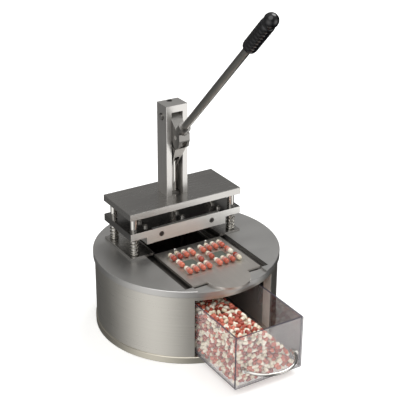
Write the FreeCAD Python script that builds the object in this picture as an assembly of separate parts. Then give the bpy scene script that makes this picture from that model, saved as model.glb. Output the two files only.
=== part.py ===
"""Hand press that pushes capsules out of blister cards.

A round stainless drum carries a small four-post press.  A flat tray brings the blister cards
under the punches, a lever drives them down through a toggle link, and the freed capsules fall
through the deck into a clear drawer.

Frame: the origin is the centre of the drum's base on the table, +Z is up, and the drawer opens
towards -Y.  Units are millimetres.  The rest pose is lever up, tray out and drawer half out.
"""
import FreeCAD, Part
import math
import os

V = FreeCAD.Vector
X_AXIS = V(1, 0, 0)
Y_AXIS = V(0, 1, 0)
Z_AXIS = V(0, 0, 1)

# ---- Drum ----
deck_diameter = 300.0
drum_height = 128.0          # table to the deck's top face
deck_thickness = 11.0
base_thickness = 11.5
base_inset = 1.0             # base disc's rim inside the deck's rim
shell_inset = 2.5            # shell's outside inside the deck's rim
shell_wall = 1.5
lintel_height = 6.0          # strip of shell left above the drawer window
flange_depth = 19.0          # window edges folded inwards
rim_chamfer = 0.8
pillar_diameter = 14.0
pillar_rim_gap = 22.0        # pillar axes inside the deck's rim
pillar_angles = (66.0, 153.0)  # from the front, on both sides

# ---- Drawer ----
drawer_width = 119.0
drawer_headroom = 18.0       # drawer's top edge to the deck's underside
acrylic = 3.0
drawer_lift = 0.1            # running gap over the base disc
drawer_face_gap = 1.0        # closed drawer's front to the deck's rim
drawer_out = 86.0            # how far it is pulled out at rest
window_left_gap = 5.5        # drawer's side to the window's left edge
window_right_gap = 19.5      # drawer's side to the window's right edge
handle_rod = 5.0
handle_span = 91.0
handle_reach = 33.0
handle_height = 30.0         # above the drawer's underside
rail_gap = 0.4
rail_height = 8.0
rail_wall = 3.0
rail_foot = 12.0
rail_foot_thickness = 2.0

# ---- Tray and blister pattern ----
card_pitch = 54.0            # two cards side by side
column_pitch = 11.7          # four capsules across a card
row_pitch = 24.5             # three rows, the middle one with its ends only
capsule_hole_width = 9.0
capsule_hole_length = 21.5
tray_width = 123.0
tray_thickness = 4.0
tray_front = 64.0            # card centre to the tray's front edge
tray_back = 53.0             # card centre to the tray's back edge
tray_travel = 99.0
tongue_radius = 36.5
format_width = 108.0
format_length = 80.0
format_thickness = 2.0
format_ledge = 3.0
pin_diameter = 5.0
pin_spacing = 57.2
pin_height = 6.5             # above the tray
pin_from_cards = 43.5        # card centre to the pins
runner_inner = 50.5          # half gap between the runners
runner_width = 4.5
guide_width = 3.85
slide_gap = 0.15

# ---- Deck pocket ----
pocket_margin = 13.5         # pocket's side beyond the tray's side
pocket_depth = 7.0
pocket_front_gap = 2.0
pocket_back_gap = 3.0
mouth_gap = 0.5              # front opening beyond the tray's side
lip_gap = 0.15               # front lip's top under the tray's tongue
drop_half_width = 50.0       # opening that the capsules fall through
drop_half_length = 40.0
chute_wall = 1.2
chute_height = 16.0

# ---- Press frame ----
press_y = 43.0               # press centre behind the drum's axis
press_width = 203.0
press_depth = 90.0
shoe_thickness = 4.0
shoe_gap = 1.0               # shoe's edge to the tray's side
plate_thickness = 11.4
spring_length = 29.7
head_gap = 22.5              # moving plate's top to the head plate
post_diameter = 11.0
post_stud = 8.0
post_inset_x = 11.5
post_inset_y = 11.5
nut_flats = 13.0
nut_height = 6.5

# ---- Moving plate and tool ----
tool_width = 123.8
tool_length = 76.0
tool_height = 6.0
boss_height = 5.7            # middle of the moving plate, below its wings
gib_width = 11.0
gib_lip = 3.4
gib_lip_height = 2.0
bar_depth = 6.0
punch_width = 5.0
punch_length = 15.0
punch_height = 8.0
spring_wire = 1.8
spring_bore_gap = 0.2        # radial, between the post and its spring
spring_outer = post_diameter + 2 * (spring_wire + spring_bore_gap)
spring_turns = 5.0
bush_wall = 2.5
bush_outer = post_diameter + 2 * bush_wall

# ---- Column, lever and link ----
column_width = 38.0
column_depth = 30.0
column_height = 151.0
column_cap = 11.0
slot_width = 20.0
slot_back = 4.0
pivot_height = 131.0         # pivot above the head plate
pivot_pin = 8.0
crank_forward = 25.0         # crank pin from the pivot at rest
crank_drop = 29.0
crank_pin = 7.0
link_length = 56.0
ram_diameter = 12.0
ram_bush_wall = 2.0
ram_bush_outer = ram_diameter + 2 * ram_bush_wall
ram_pin = 5.0
hub_width = 19.0
tongue_width = 8.0           # ram's flat, inside the link's lower fork
link_eye_width = 10.0        # link's upper eye, inside the hub's fork
lever_swing = 36.0
rod_diameter = 12.0
rod_angle = 45.4             # rod above the horizontal at rest
rod_offset = 5.0             # rod's axis above the crank pin
rod_start = 13.5
grip_start = 262.0
grip_length = 80.0
grip_radius = 11.0
grip_ball_radius = 10.6
grip_foot_round = 2.5        # rounding at the grip's lower end

# ---- Fits ----
running_fit = 0.05           # radial, between parts that turn or slide
seat_fit = 0.02              # radial, between parts that are fixed together
bolt_fit = 0.25              # radial, round a bolt's shank

# ---- Places worked out from the sizes ----
deck_radius = deck_diameter / 2
deck_bottom = drum_height - deck_thickness
shell_radius = deck_radius - shell_inset
pocket_floor = drum_height - pocket_depth
drawer_half = drawer_width / 2
window_left = -(drawer_half + window_left_gap)
window_right = drawer_half + window_right_gap
window_top = deck_bottom - lintel_height
drawer_bottom = base_thickness + drawer_lift
drawer_top = deck_bottom - drawer_headroom
drawer_front_closed = -(deck_radius + drawer_face_gap)
drawer_front = drawer_front_closed - drawer_out
drawer_back = press_y + drop_half_length + 9.0 - drawer_out

cards_y = press_y - tray_travel
tray_half = tray_width / 2
tray_top = drum_height + 1.0
tray_bottom = tray_top - tray_thickness
tray_front_y = cards_y - tray_front
tray_back_y = cards_y + tray_back
pocket_half = tray_half + pocket_margin
pocket_front_y = tray_front_y - pocket_front_gap
pocket_back_y = tray_back_y + tray_travel + pocket_back_gap

press_half = press_width / 2
press_front = press_y - press_depth / 2
press_back = press_y + press_depth / 2
shoe_top = drum_height + shoe_thickness
plate_bottom = shoe_top + spring_length
plate_top = plate_bottom + plate_thickness
head_bottom = plate_top + head_gap
head_top = head_bottom + plate_thickness
post_x = press_half - post_inset_x
post_places = [(sx * post_x, press_y + sy * (press_depth / 2 - post_inset_y))
               for sy in (-1, 1) for sx in (-1, 1)]
boss_bottom = plate_bottom - boss_height
tool_bottom = boss_bottom - tool_height
tool_half = tool_width / 2
gib_inner = tool_half + 0.1
gib_outer = gib_inner + gib_width
gib_bottom = tool_bottom - 0.5
bar_back = press_front + bar_depth
screw_rows = [press_y + offset for offset in (-30, -12, 12, 30)]

column_front = press_y - column_depth / 2
column_back = press_y + column_depth / 2
column_top = head_top + column_height
slot_end = column_back - slot_back
pivot = V(0, press_y, head_top + pivot_height)
crank = V(0, pivot.y - crank_forward, pivot.z - crank_drop)
ram_joint = V(0, press_y, crank.z - math.sqrt(link_length ** 2 - crank_forward ** 2))
rod_direction = V(0, -math.cos(math.radians(rod_angle)), math.sin(math.radians(rod_angle)))
rod_foot = crank + V(0, rod_direction.z, -rod_direction.y) * rod_offset

link_neck = 7.0              # link's width inside the hub's fork, as a radius
crank_radius = math.hypot(crank_forward, crank_drop)
crank_lean = math.atan2(crank_forward, crank_drop)
crank_lean_down = crank_lean - math.radians(lever_swing)
link_lean = math.asin(crank_forward / link_length)
link_lean_down = math.asin(crank_radius * math.sin(crank_lean_down) / link_length)
link_swing = -(lever_swing + math.degrees(link_lean - link_lean_down))


# ---- Small helpers ----
def box(x0, x1, y0, y1, z0, z1):
    """Block between two corners."""
    return Part.makeBox(x1 - x0, y1 - y0, z1 - z0, V(x0, y0, z0))


def rod(radius, start, end):
    """Round bar between two points."""
    axis = end - start
    return Part.makeCylinder(radius, axis.Length, start, axis)


def upright(radius, x, y, z0, z1):
    """Round bar along Z."""
    return rod(radius, V(x, y, z0), V(x, y, z1))


def across(radius, point, x0, x1):
    """Round bar along X through a point."""
    return rod(radius, V(x0, point.y, point.z), V(x1, point.y, point.z))


def tube(outer, inner, x, y, z0, z1):
    """Upright round tube."""
    return upright(outer, x, y, z0, z1).cut(upright(inner, x, y, z0, z1))


def obround(width, length, x, y, z0, z1):
    """Upright bar with a slot-shaped section, long along Y."""
    radius = width / 2
    half = length / 2 - radius
    ends = [upright(radius, x, y + s * half, z0, z1) for s in (-1, 1)]
    return box(x - radius, x + radius, y - half, y + half, z0, z1).fuse(ends).removeSplitter()


def strap(first, r1, second, r2, x0, x1):
    """Flat bar in the YZ plane with a round end of its own radius at each of two points."""
    span = second - first
    lean = math.atan2(span.z, span.y)
    side = math.acos((r1 - r2) / span.Length)

    def on(centre, radius, angle):
        return V(x0, centre.y + radius * math.cos(angle), centre.z + radius * math.sin(angle))

    outline = [
        Part.LineSegment(on(first, r1, lean + side), on(second, r2, lean + side)),
        Part.Arc(on(second, r2, lean + side), on(second, r2, lean), on(second, r2, lean - side)),
        Part.LineSegment(on(second, r2, lean - side), on(first, r1, lean - side)),
        Part.Arc(on(first, r1, lean - side), on(first, r1, lean + math.pi),
                 on(first, r1, lean + side)),
    ]
    wire = Part.Wire([piece.toShape() for piece in outline])
    return Part.Face(wire).extrude(V(x1 - x0, 0, 0))


def hexagon(flats, x, y, z0, z1):
    """Upright hexagonal bar."""
    radius = flats / math.sqrt(3)
    corners = [V(x + radius * math.cos(math.radians(60 * i)),
                 y + radius * math.sin(math.radians(60 * i)), z0) for i in range(7)]
    return Part.Face(Part.makePolygon(corners)).extrude(V(0, 0, z1 - z0))


def cap_screw(shank, length, head_height=None):
    """Socket cap screw, head up, with the seat of its head at the origin."""
    tall = head_height or shank
    head = upright(shank * 0.85, 0, 0, 0, tall)
    socket = hexagon(shank * 0.8, 0, 0, tall * 0.5, tall)
    return upright(shank / 2, 0, 0, -length, 0).fuse(head).removeSplitter().cut(socket)


def flush_screw(shank, length):
    """Countersunk socket screw, head up, with its flat top at the origin."""
    sink = shank * 0.5
    head = Part.makeCone(shank / 2, shank, sink, V(0, 0, -sink), Z_AXIS)
    socket = hexagon(shank * 0.6, 0, 0, -shank * 0.35, 0)
    return upright(shank / 2, 0, 0, -length, -sink).fuse(head).removeSplitter().cut(socket)


def flush_hole(shank, length):
    """Cutter for a countersunk screw, with clearance all round."""
    sink = shank * 0.5
    head = Part.makeCone(shank / 2 + bolt_fit, shank + bolt_fit, sink, V(0, 0, -sink), Z_AXIS)
    return upright(shank / 2 + bolt_fit, 0, 0, -length, -sink).fuse(head)


def placed(shape, place, turn=0.0, axis=X_AXIS):
    """Copy of a shape, turned about an axis through the origin and then moved."""
    copy = shape.copy()
    copy.rotate(V(0, 0, 0), axis, turn)
    copy.translate(place)
    return copy


def edges_along(shape, axis, test):
    """Straight edges that run along an axis and whose middle passes a test."""
    chosen = []
    for edge in shape.Edges:
        if len(edge.Vertexes) != 2 or edge.Curve.TypeId != "Part::GeomLine":
            continue
        if abs(abs(edge.Curve.Direction.dot(axis)) - 1) < 1e-6 and test(edge.CenterOfMass):
            chosen.append(edge)
    return chosen


def mirror(shape):
    """Copy on the other side of the press's middle plane."""
    return shape.mirror(V(0, 0, 0), X_AXIS)


def capsule_places():
    """Middles of all capsules about the cards' centre."""
    places = []
    for card in (-0.5, 0.5):
        for column in (-1.5, -0.5, 0.5, 1.5):
            for row in (-1, 0, 1):
                if row == 0 and abs(column) < 1:
                    continue
                places.append((card * card_pitch + column * column_pitch, row * row_pitch))
    return places


# ---- Drum ----
pillar_radius = deck_radius - pillar_rim_gap
pillar_places = [(s * pillar_radius * math.sin(math.radians(a)),
                  -pillar_radius * math.cos(math.radians(a)))
                 for a in pillar_angles for s in (-1, 1)]
base_screw_shank = 6.0
base_screw_length = 24.0


def rim_disc(radius, z0, z1):
    """Thick disc with both rims broken."""
    disc = upright(radius, 0, 0, z0, z1)
    rims = [e for e in disc.Edges if e.Curve.TypeId == "Part::GeomCircle"]
    return disc.makeChamfer(rim_chamfer, rims)


def base_disc():
    disc = rim_disc(deck_radius - base_inset, 0, base_thickness)
    cutter = flush_hole(base_screw_shank, base_screw_length)
    holes = [placed(cutter, V(x, y, 0), 180) for x, y in pillar_places]
    return disc.cut(holes)


def base_screws():
    screw = flush_screw(base_screw_shank, base_screw_length)
    return [placed(screw, V(x, y, 0), 180) for x, y in pillar_places]


def tie_pillars():
    pillars = []
    for x, y in pillar_places:
        body = upright(pillar_diameter / 2, x, y, base_thickness, deck_bottom)
        stud = upright(pillar_diameter / 4, x, y, deck_bottom, deck_bottom + 7)
        bore = upright(base_screw_shank / 2 + seat_fit, x, y, base_thickness, base_screw_length + 1)
        pillars.append(body.fuse(stud).removeSplitter().cut(bore))
    return pillars


def window_edge_y(x):
    """Where the shell's outside crosses a given X at the front."""
    return -math.sqrt(shell_radius ** 2 - x ** 2)


def drum_shell():
    wall = tube(shell_radius, shell_radius - shell_wall, 0, 0, base_thickness, deck_bottom)
    window = box(window_left, window_right, -deck_radius, 0, base_thickness - 1, window_top)
    wall = wall.cut(window)
    folds = []
    for edge, inward, depth in ((window_left, -1, flange_depth - 5), (window_right, 1, flange_depth)):
        y0 = window_edge_y(edge)
        x0, x1 = sorted((edge, edge + inward * shell_wall))
        folds.append(box(x0, x1, y0 + 0.8, y0 + depth, base_thickness, window_top))
    return wall.fuse(folds).removeSplitter()


def deck_plate():
    deck = rim_disc(deck_radius, deck_bottom, drum_height)
    mouth = tray_half + mouth_gap
    cuts = [
        box(-pocket_half, pocket_half, pocket_front_y, pocket_back_y, pocket_floor, drum_height + 1),
        box(-mouth, mouth, -deck_radius - 1, pocket_front_y, tray_bottom - lip_gap, drum_height + 1),
        box(-drop_half_width, drop_half_width, press_y - drop_half_length, press_y + drop_half_length,
            deck_bottom - 1, pocket_floor + 1),
    ]
    cuts += [upright(post_stud / 2 + seat_fit, x, y, deck_bottom - 1, drum_height + 1)
             for x, y in post_places]
    cuts += [upright(pillar_diameter / 4 + seat_fit, x, y, deck_bottom - 1, deck_bottom + 7.5)
             for x, y in pillar_places]
    return deck.cut(cuts)


def drop_chute():
    """Sheet-metal sleeve that keeps falling capsules over the drawer."""
    reach_x = drop_half_width + chute_wall
    reach_y = drop_half_length + chute_wall
    outside = box(-reach_x, reach_x, press_y - reach_y, press_y + reach_y,
                  deck_bottom - chute_height, deck_bottom)
    inside = box(-drop_half_width, drop_half_width, press_y - drop_half_length,
                 press_y + drop_half_length, deck_bottom - chute_height, deck_bottom)
    return outside.cut(inside)


# ---- Drawer guides ----
rail_front = window_edge_y(window_right) + flange_depth + 4
rail_screw_shank = 4.0


def rail_screw_places():
    x = drawer_half + rail_gap + rail_wall + rail_foot / 2
    back = drawer_back + drawer_out
    return [(s * x, rail_front + f * (back - rail_front)) for s in (-1, 1) for f in (0.1, 0.5, 0.9)]


def drawer_rail(side):
    x0 = drawer_half + rail_gap
    x1 = x0 + rail_wall
    back = drawer_back + drawer_out
    rail = box(x0, x1, rail_front, back, base_thickness, base_thickness + rail_height)
    foot = box(x1, x1 + rail_foot, rail_front, back, base_thickness,
               base_thickness + rail_foot_thickness)
    rail = rail.fuse(foot).removeSplitter()
    if side < 0:
        rail = mirror(rail)
    holes = [upright(rail_screw_shank / 2 + bolt_fit, x, y, base_thickness - 1,
                     base_thickness + rail_height) for x, y in rail_screw_places() if x * side > 0]
    return rail.cut(holes)


def rail_screws():
    seat = base_thickness + rail_foot_thickness
    screw = cap_screw(rail_screw_shank, rail_foot_thickness + 6, 2.5)
    return [placed(screw, V(x, y, seat)) for x, y in rail_screw_places()]


def base_with_rail_holes():
    tapped = [upright(rail_screw_shank / 2 + seat_fit, x, y, base_thickness - 6.5, base_thickness)
              for x, y in rail_screw_places()]
    return base_disc().cut(tapped)


def drawer_stop():
    back = drawer_back + drawer_out + 0.5
    block = box(-25, 25, back, back + 8, base_thickness, base_thickness + 14)
    return block.makeChamfer(1.0, edges_along(block, X_AXIS, lambda c: c.z > base_thickness + 1))


# ---- Drawer ----
def drawer_floor():
    return box(-drawer_half + acrylic, drawer_half - acrylic, drawer_front + acrylic, drawer_back,
               drawer_bottom, drawer_bottom + acrylic)


def drawer_side(side):
    inner, outer = sorted((side * (drawer_half - acrylic), side * drawer_half))
    return box(inner, outer, drawer_front + acrylic, drawer_back, drawer_bottom, drawer_top)


def drawer_back_wall():
    return box(-drawer_half + acrylic, drawer_half - acrylic, drawer_back - acrylic, drawer_back,
               drawer_bottom + acrylic, drawer_top)


handle_z = drawer_bottom + handle_height
handle_ends = [V(s * handle_span / 2, drawer_front, handle_z) for s in (-1, 1)]
handle_stud = 4.0


def drawer_front_wall():
    wall = box(-drawer_half, drawer_half, drawer_front, drawer_front + acrylic,
               drawer_bottom, drawer_top)
    holes = [rod(handle_stud / 2 + seat_fit, end - Y_AXIS, end + Y_AXIS * (acrylic + 1))
             for end in handle_ends]
    return wall.cut(holes)


def drawer_handle():
    """Bow of round rod with a collar and a stud at each end."""
    half = handle_span / 2
    bow_radius = (half ** 2 + handle_reach ** 2) / (2 * handle_reach)
    centre = V(0, drawer_front - handle_reach + bow_radius, handle_z)
    start = V(-bow_radius, 0, 0)
    section = Part.Face(Part.Wire(Part.makeCircle(handle_rod / 2, centre + start, Y_AXIS)))
    bow = section.revolve(centre, Z_AXIS, 180)
    keep = box(-2 * half, 2 * half, drawer_front - 2 * handle_reach, drawer_front,
               handle_z - handle_rod, handle_z + handle_rod)
    handle = bow.common(keep)
    for end in handle_ends:
        collar = rod(handle_rod * 0.9, end - Y_AXIS * 3, end)
        stud = rod(handle_stud / 2, end - Y_AXIS, end + Y_AXIS * (acrylic + 4.5))
        handle = handle.fuse([collar, stud])
    return handle.removeSplitter()


def handle_nuts():
    """Low cap nuts on the handle's studs, inside the drawer."""
    nuts = []
    for end in handle_ends:
        nut = hexagon(7.0, 0, 0, 0, 3.2)
        dome = upright(3.0, 0, 0, 3.2, 5.2)
        bore = upright(handle_stud / 2 + seat_fit, 0, 0, -1, 4.6)
        nut = nut.fuse(dome).removeSplitter().cut(bore)
        nuts.append(placed(nut, end + Y_AXIS * acrylic, -90))
    return nuts


# ---- Tray ----
def tray_plate():
    plate = box(-tray_half, tray_half, tray_front_y, tray_back_y, tray_bottom, tray_top)
    tongue = upright(tongue_radius, 0, tray_front_y, tray_bottom, tray_top)
    plate = plate.fuse(tongue).removeSplitter()
    half_w = format_width / 2
    half_l = format_length / 2
    seat = slide_gap
    opening = box(-half_w + format_ledge, half_w - format_ledge, cards_y - half_l + format_ledge,
                  cards_y + half_l - format_ledge, tray_bottom - 1, tray_top + 1)
    recess = box(-half_w - seat, half_w + seat, cards_y - half_l - seat, cards_y + half_l + seat,
                 tray_top - format_thickness, tray_top + 1)
    pins = [upright(pin_diameter / 2 + seat_fit, x, y, tray_bottom - 1, tray_top + 1)
            for x, y in pin_places()]
    return plate.cut([opening, recess] + pins)


def pin_places():
    return [(s * pin_spacing / 2, cards_y + pin_from_cards) for s in (-1, 1)]


def locating_pins():
    pins = []
    for x, y in pin_places():
        pin = upright(pin_diameter / 2, x, y, tray_bottom, tray_top + pin_height)
        top = [e for e in pin.Edges if e.CenterOfMass.z > tray_top + pin_height - 0.1]
        pins.append(pin.makeChamfer(0.8, top))
    return pins


def format_plate():
    half_w = format_width / 2
    half_l = format_length / 2
    z0 = tray_top - format_thickness
    plate = box(-half_w, half_w, cards_y - half_l, cards_y + half_l, z0, tray_top)
    holes = [obround(capsule_hole_width, capsule_hole_length, x, cards_y + y, z0 - 1, tray_top + 1)
             for x, y in capsule_places()]
    return plate.cut(holes)




def runner_screw_places(side):
    x = side * (runner_inner + runner_width / 2)
    return [(x, tray_front_y + 12), (x, tray_back_y - 12)]


def tray_runner(side):
    """Bar under the tray that slides on the pocket's floor."""
    x0, x1 = sorted((side * runner_inner, side * (runner_inner + runner_width)))
    runner = box(x0, x1, tray_front_y + 4, tray_back_y - 2, pocket_floor + slide_gap, tray_bottom)
    return runner


def tray_guide(side):
    """Fixed bar beside the runner that keeps the tray straight."""
    inner = runner_inner + runner_width + slide_gap
    x0, x1 = sorted((side * inner, side * (inner + guide_width)))
    return box(x0, x1, pocket_front_y + 3, pocket_back_y - 1, pocket_floor, tray_bottom - 0.6)


# ---- Press frame ----
def shoe(side):
    """Flat foot of one pair of posts; its inner edge also guides the tray."""
    x0, x1 = sorted((side * (tray_half + shoe_gap), side * press_half))
    foot = box(x0, x1, press_front, press_back, drum_height, shoe_top)
    holes = [upright(post_stud / 2 + seat_fit, x, y, drum_height - 1, shoe_top + 1)
             for x, y in post_places if x * side > 0]
    return foot.cut(holes)


def guide_post(x, y):
    """Post with a threaded stud below and a turned-down end in the head plate."""
    post = upright(post_diameter / 2, x, y, shoe_top, head_bottom)
    stud = upright(post_stud / 2, x, y, deck_bottom - nut_height - 2, shoe_top)
    spigot = upright(post_stud / 2, x, y, head_bottom, head_top)
    return post.fuse([stud, spigot]).removeSplitter()


def post_nuts():
    nuts = []
    for x, y in post_places:
        nut = hexagon(nut_flats, x, y, deck_bottom - nut_height, deck_bottom)
        nuts.append(nut.cut(upright(post_stud / 2 + seat_fit, x, y, 0, deck_bottom)))
    return nuts


column_screw_shank = 5.0
column_screw_length = plate_thickness + 12.0
column_screw_places = [(sx * (slot_width + column_width) / 4, press_y + sy * 9.5)
                       for sx in (-1, 1) for sy in (-1, 1)]


def head_plate():
    plate = box(-press_half, press_half, press_front, press_back, head_bottom, head_top)
    rims = edges_along(plate, X_AXIS, lambda c: True) + edges_along(plate, Y_AXIS, lambda c: True)
    plate = plate.makeChamfer(0.6, rims)
    cuts = [upright(post_stud / 2 + seat_fit, x, y, head_bottom - 1, head_top + 1)
            for x, y in post_places]
    cuts.append(upright(ram_bush_outer / 2 + seat_fit, 0, press_y, head_bottom - 1, head_top + 1))
    cutter = flush_hole(column_screw_shank, column_screw_length + 1)
    cuts += [placed(cutter, V(x, y, head_bottom), 180) for x, y in column_screw_places]
    return plate.cut(cuts)


def ram_bush():
    """Flanged bronze bush in the head plate that guides the ram."""
    bush = upright(ram_bush_outer / 2, 0, press_y, head_bottom, head_top)
    flange = upright(ram_bush_outer / 2 + 1.7, 0, press_y, head_top, head_top + 2)
    bore = upright(ram_diameter / 2 + running_fit, 0, press_y, head_bottom - 1, head_top + 3)
    return bush.fuse(flange).removeSplitter().cut(bore)


def column_screws():
    screw = flush_screw(column_screw_shank, column_screw_length)
    return [placed(screw, V(x, y, head_bottom), 180) for x, y in column_screw_places]


# ---- Column ----
stop_screw_shank = 5.0
stop_screw_y = press_y + 8.6
stop_screw_tip = pivot.z + 8.0
stop_screw_seat = column_top - 3.0


def column():
    half = column_width / 2
    post = box(-half, half, column_front, column_back, head_top, column_top)
    post = post.makeChamfer(0.5, edges_along(post, Z_AXIS, lambda c: True))
    slot = box(-slot_width / 2, slot_width / 2, column_front - 1, slot_end,
               head_top - 1, column_top - column_cap)
    cuts = [slot, across(pivot_pin / 2 + seat_fit, pivot, -half - 1, half + 1)]
    cuts += [upright(column_screw_shank / 2 + seat_fit, x, y, head_top - 1, head_top + 13)
             for x, y in column_screw_places]
    cuts.append(upright(stop_screw_shank / 2 + seat_fit, 0, stop_screw_y,
                        stop_screw_tip - 1, column_top + 1))
    cuts.append(upright(stop_screw_shank * 0.85 + bolt_fit, 0, stop_screw_y,
                        stop_screw_seat, column_top + 1))
    return post.cut(cuts)


def stop_screw():
    """Screw in the column's cap that ends the lever's down stroke."""
    screw = cap_screw(stop_screw_shank, stop_screw_seat - stop_screw_tip, 3.6)
    return placed(screw, V(0, stop_screw_y, stop_screw_seat))


clip_thickness = 1.0


def pivot_pin_bar():
    reach = column_width / 2 + 2.2
    pin = across(pivot_pin / 2, pivot, -reach, reach)
    grooves = []
    for side in (-1, 1):
        x0, x1 = sorted((side * column_width / 2, side * (column_width / 2 + clip_thickness)))
        ring = across(pivot_pin / 2 + 1, pivot, x0, x1)
        grooves.append(ring.cut(across(pivot_pin / 2 - 0.7, pivot, x0, x1)))
    return pin.cut(grooves)


def pivot_clips():
    """Retaining rings in the pin's grooves, open below."""
    clips = []
    for side in (-1, 1):
        x0, x1 = sorted((side * column_width / 2, side * (column_width / 2 + clip_thickness)))
        ring = across(pivot_pin / 2 + 2, pivot, x0, x1)
        bore = across(pivot_pin / 2 - 0.7 + seat_fit, pivot, x0 - 1, x1 + 1)
        gap = box(x0 - 1, x1 + 1, pivot.y - 2, pivot.y + 2, pivot.z - pivot_pin, pivot.z)
        clips.append(ring.cut([bore, gap]))
    return clips


# ---- Lever ----
hub_boss = 8.4               # hub round its pivot
hub_foot = 10.5              # hub round the rod's foot
eye_radius = 9.8             # link's upper eye, inside the hub's fork
eye_gap = 0.6
shield = [(-7, 14), (-12, 8), (-12.5, -2.5), (-9, -14), (-1, -19), (4, -17), (9, -8), (9, 5)]
shield_reach = 19.1          # crank pin to the shield's farthest corner


def link_axis():
    """Direction from the crank pin down to the ram pin at rest."""
    return (ram_joint - crank).normalize()


def turned_about_crank(direction, degrees):
    """Direction turned about the crank pin's axis."""
    turn = FreeCAD.Rotation(X_AXIS, degrees)
    return turn.multVec(direction)


def lever_hub():
    """Block that turns on the pivot, with a fork for the link and a socket for the rod."""
    half = hub_width / 2
    socket_end = rod_foot + rod_direction * (rod_start + 11)
    body = strap(pivot, hub_boss, rod_foot, hub_foot, -half, half)
    corners = [V(-half, crank.y + y, crank.z + z) for y, z in shield]
    block = Part.Face(Part.makePolygon(corners + corners[:1])).extrude(V(hub_width, 0, 0))
    heel = box(-half, half, pivot.y, pivot.y + 10, pivot.z - 4, pivot.z + 1.5)
    hub = body.fuse([rod(half, rod_foot, socket_end), block, heel]).removeSplitter()
    fork = link_eye_width / 2 + running_fit
    cuts = [
        across(pivot_pin / 2 + running_fit, pivot, -hub_width, hub_width),
        across(crank_pin / 2 + running_fit, crank, -hub_width, hub_width),
        rod(rod_diameter / 2 + seat_fit, rod_foot + rod_direction * rod_start,
            rod_foot + rod_direction * (rod_start + 40)),
        across(eye_radius + eye_gap, crank, -fork, fork),
    ]
    for step in range(9):
        along = turned_about_crank(link_axis(), link_swing * step / 8)
        cuts.append(strap(crank, link_neck + eye_gap, crank + along * 30, link_neck + eye_gap, -fork, fork))
    return hub.cut(cuts)


def lever_rod():
    start = rod_foot + rod_direction * rod_start
    end = rod_foot + rod_direction * (grip_start + grip_length * 0.64)
    return rod(rod_diameter / 2, start, end)


def lever_grip():
    """Moulded handle with a blunt lower end, a thick body, a groove and a ball end."""
    ball_centre = grip_length - grip_ball_radius
    ball = ball_centre - grip_ball_radius + 3
    groove = grip_radius - 1.6
    profile = [V(0, 0, 0), V(grip_radius - grip_foot_round, 0, 0), V(grip_radius, 0, grip_foot_round),
               V(grip_radius, 0, ball - 5), V(groove, 0, ball - 3.5), V(groove, 0, ball)]
    outline = [Part.LineSegment(a, b) for a, b in zip(profile, profile[1:])]
    outline.append(Part.LineSegment(profile[-1], V(0, 0, ball)))
    outline.append(Part.LineSegment(V(0, 0, ball), V(0, 0, 0)))
    wire = Part.Wire([piece.toShape() for piece in outline])
    grip = Part.Face(wire).revolve(V(0, 0, 0), Z_AXIS, 360)
    grip = grip.fuse(Part.makeSphere(grip_ball_radius, V(0, 0, ball_centre))).removeSplitter()
    grip = grip.cut(upright(rod_diameter / 2 + seat_fit, 0, 0, -1, grip_length * 0.64 + 0.5))
    return placed(grip, rod_foot + rod_direction * grip_start, 90 - rod_angle)


# ---- Toggle link ----
link_foot = 7.5              # link's lower eye
open_pivot_play = 1.35       # room round the ram pin, across the link
open_pivot_travel = 3.2      # room round the ram pin, along the link


def toggle_link():
    """Link with an eye in the hub's fork, widening below it, and a fork over the ram's flat."""
    half = hub_width / 2 - 0.1
    foot_half = tongue_width / 2 + 2.4
    neck = link_eye_width / 2 - running_fit
    along = link_axis()
    eye = across(eye_radius, crank, -neck, neck)
    middle = strap(crank, link_neck, ram_joint, link_foot, -neck, neck)
    broad = strap(crank, eye_radius, ram_joint, link_foot, -half, half)
    broad = broad.cut(across(shield_reach + eye_gap, crank, -hub_width, hub_width))
    link = broad.fuse([eye, middle]).removeSplitter()
    fork = tongue_width / 2 + running_fit
    cuts = [strap(ram_joint - along * 12, link_foot + 3, ram_joint + along * 9, link_foot + 3,
                  -fork, fork),
            across(crank_pin / 2 + seat_fit, crank, -half - 1, half + 1)]
    for side in (-1, 1):
        face = [V(side * half, 0, crank.z - 20), V(side * foot_half, 0, ram_joint.z + 4),
                V(side * foot_half, 0, ram_joint.z - 20), V(side * (half + 5), 0, ram_joint.z - 20),
                V(side * (half + 5), 0, crank.z - 20)]
        wedge = Part.Face(Part.makePolygon(face + face[:1]))
        wedge.translate(V(0, crank.y - 40, 0))
        cuts.append(wedge.extrude(V(0, 100, 0)))
    slot_radius = ram_pin / 2 + open_pivot_play
    cuts.append(strap(ram_joint - along * open_pivot_travel, slot_radius, ram_joint + along * 0.4,
                      slot_radius, -half - 1, half + 1))
    return link.cut(cuts)


def crank_pin_bar():
    half = hub_width / 2 - 0.1
    return across(crank_pin / 2, crank, -half, half)


# ---- Ram and moving plate ----
ram_eye_radius = ram_diameter / 2
ram_screw_shank = 6.0
ram_screw_length = plate_thickness + boss_height + 11.0


def ram():
    """Round ram whose top is milled flat for the link."""
    top = ram_joint.z + ram_eye_radius
    bar = upright(ram_diameter / 2, 0, press_y, plate_top, top)
    tongue = tongue_width / 2 - running_fit
    for x0, x1 in ((tongue, ram_diameter), (-ram_diameter, -tongue)):
        bar = bar.cut(box(x0, x1, press_y - ram_diameter, press_y + ram_diameter,
                          ram_joint.z - 12, top + 1))
    corner = box(-ram_diameter, ram_diameter, press_y - ram_diameter, press_y + ram_diameter,
                 ram_joint.z, top + 1)
    bar = bar.cut(corner.cut(across(ram_eye_radius, ram_joint, -ram_diameter, ram_diameter)))
    tapped = upright(ram_screw_shank / 2 + seat_fit, 0, press_y, plate_top - 1,
                     boss_bottom + ram_screw_length + 1)
    return bar.cut([tapped, across(ram_pin / 2 + seat_fit, ram_joint, -ram_diameter, ram_diameter)])


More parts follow.
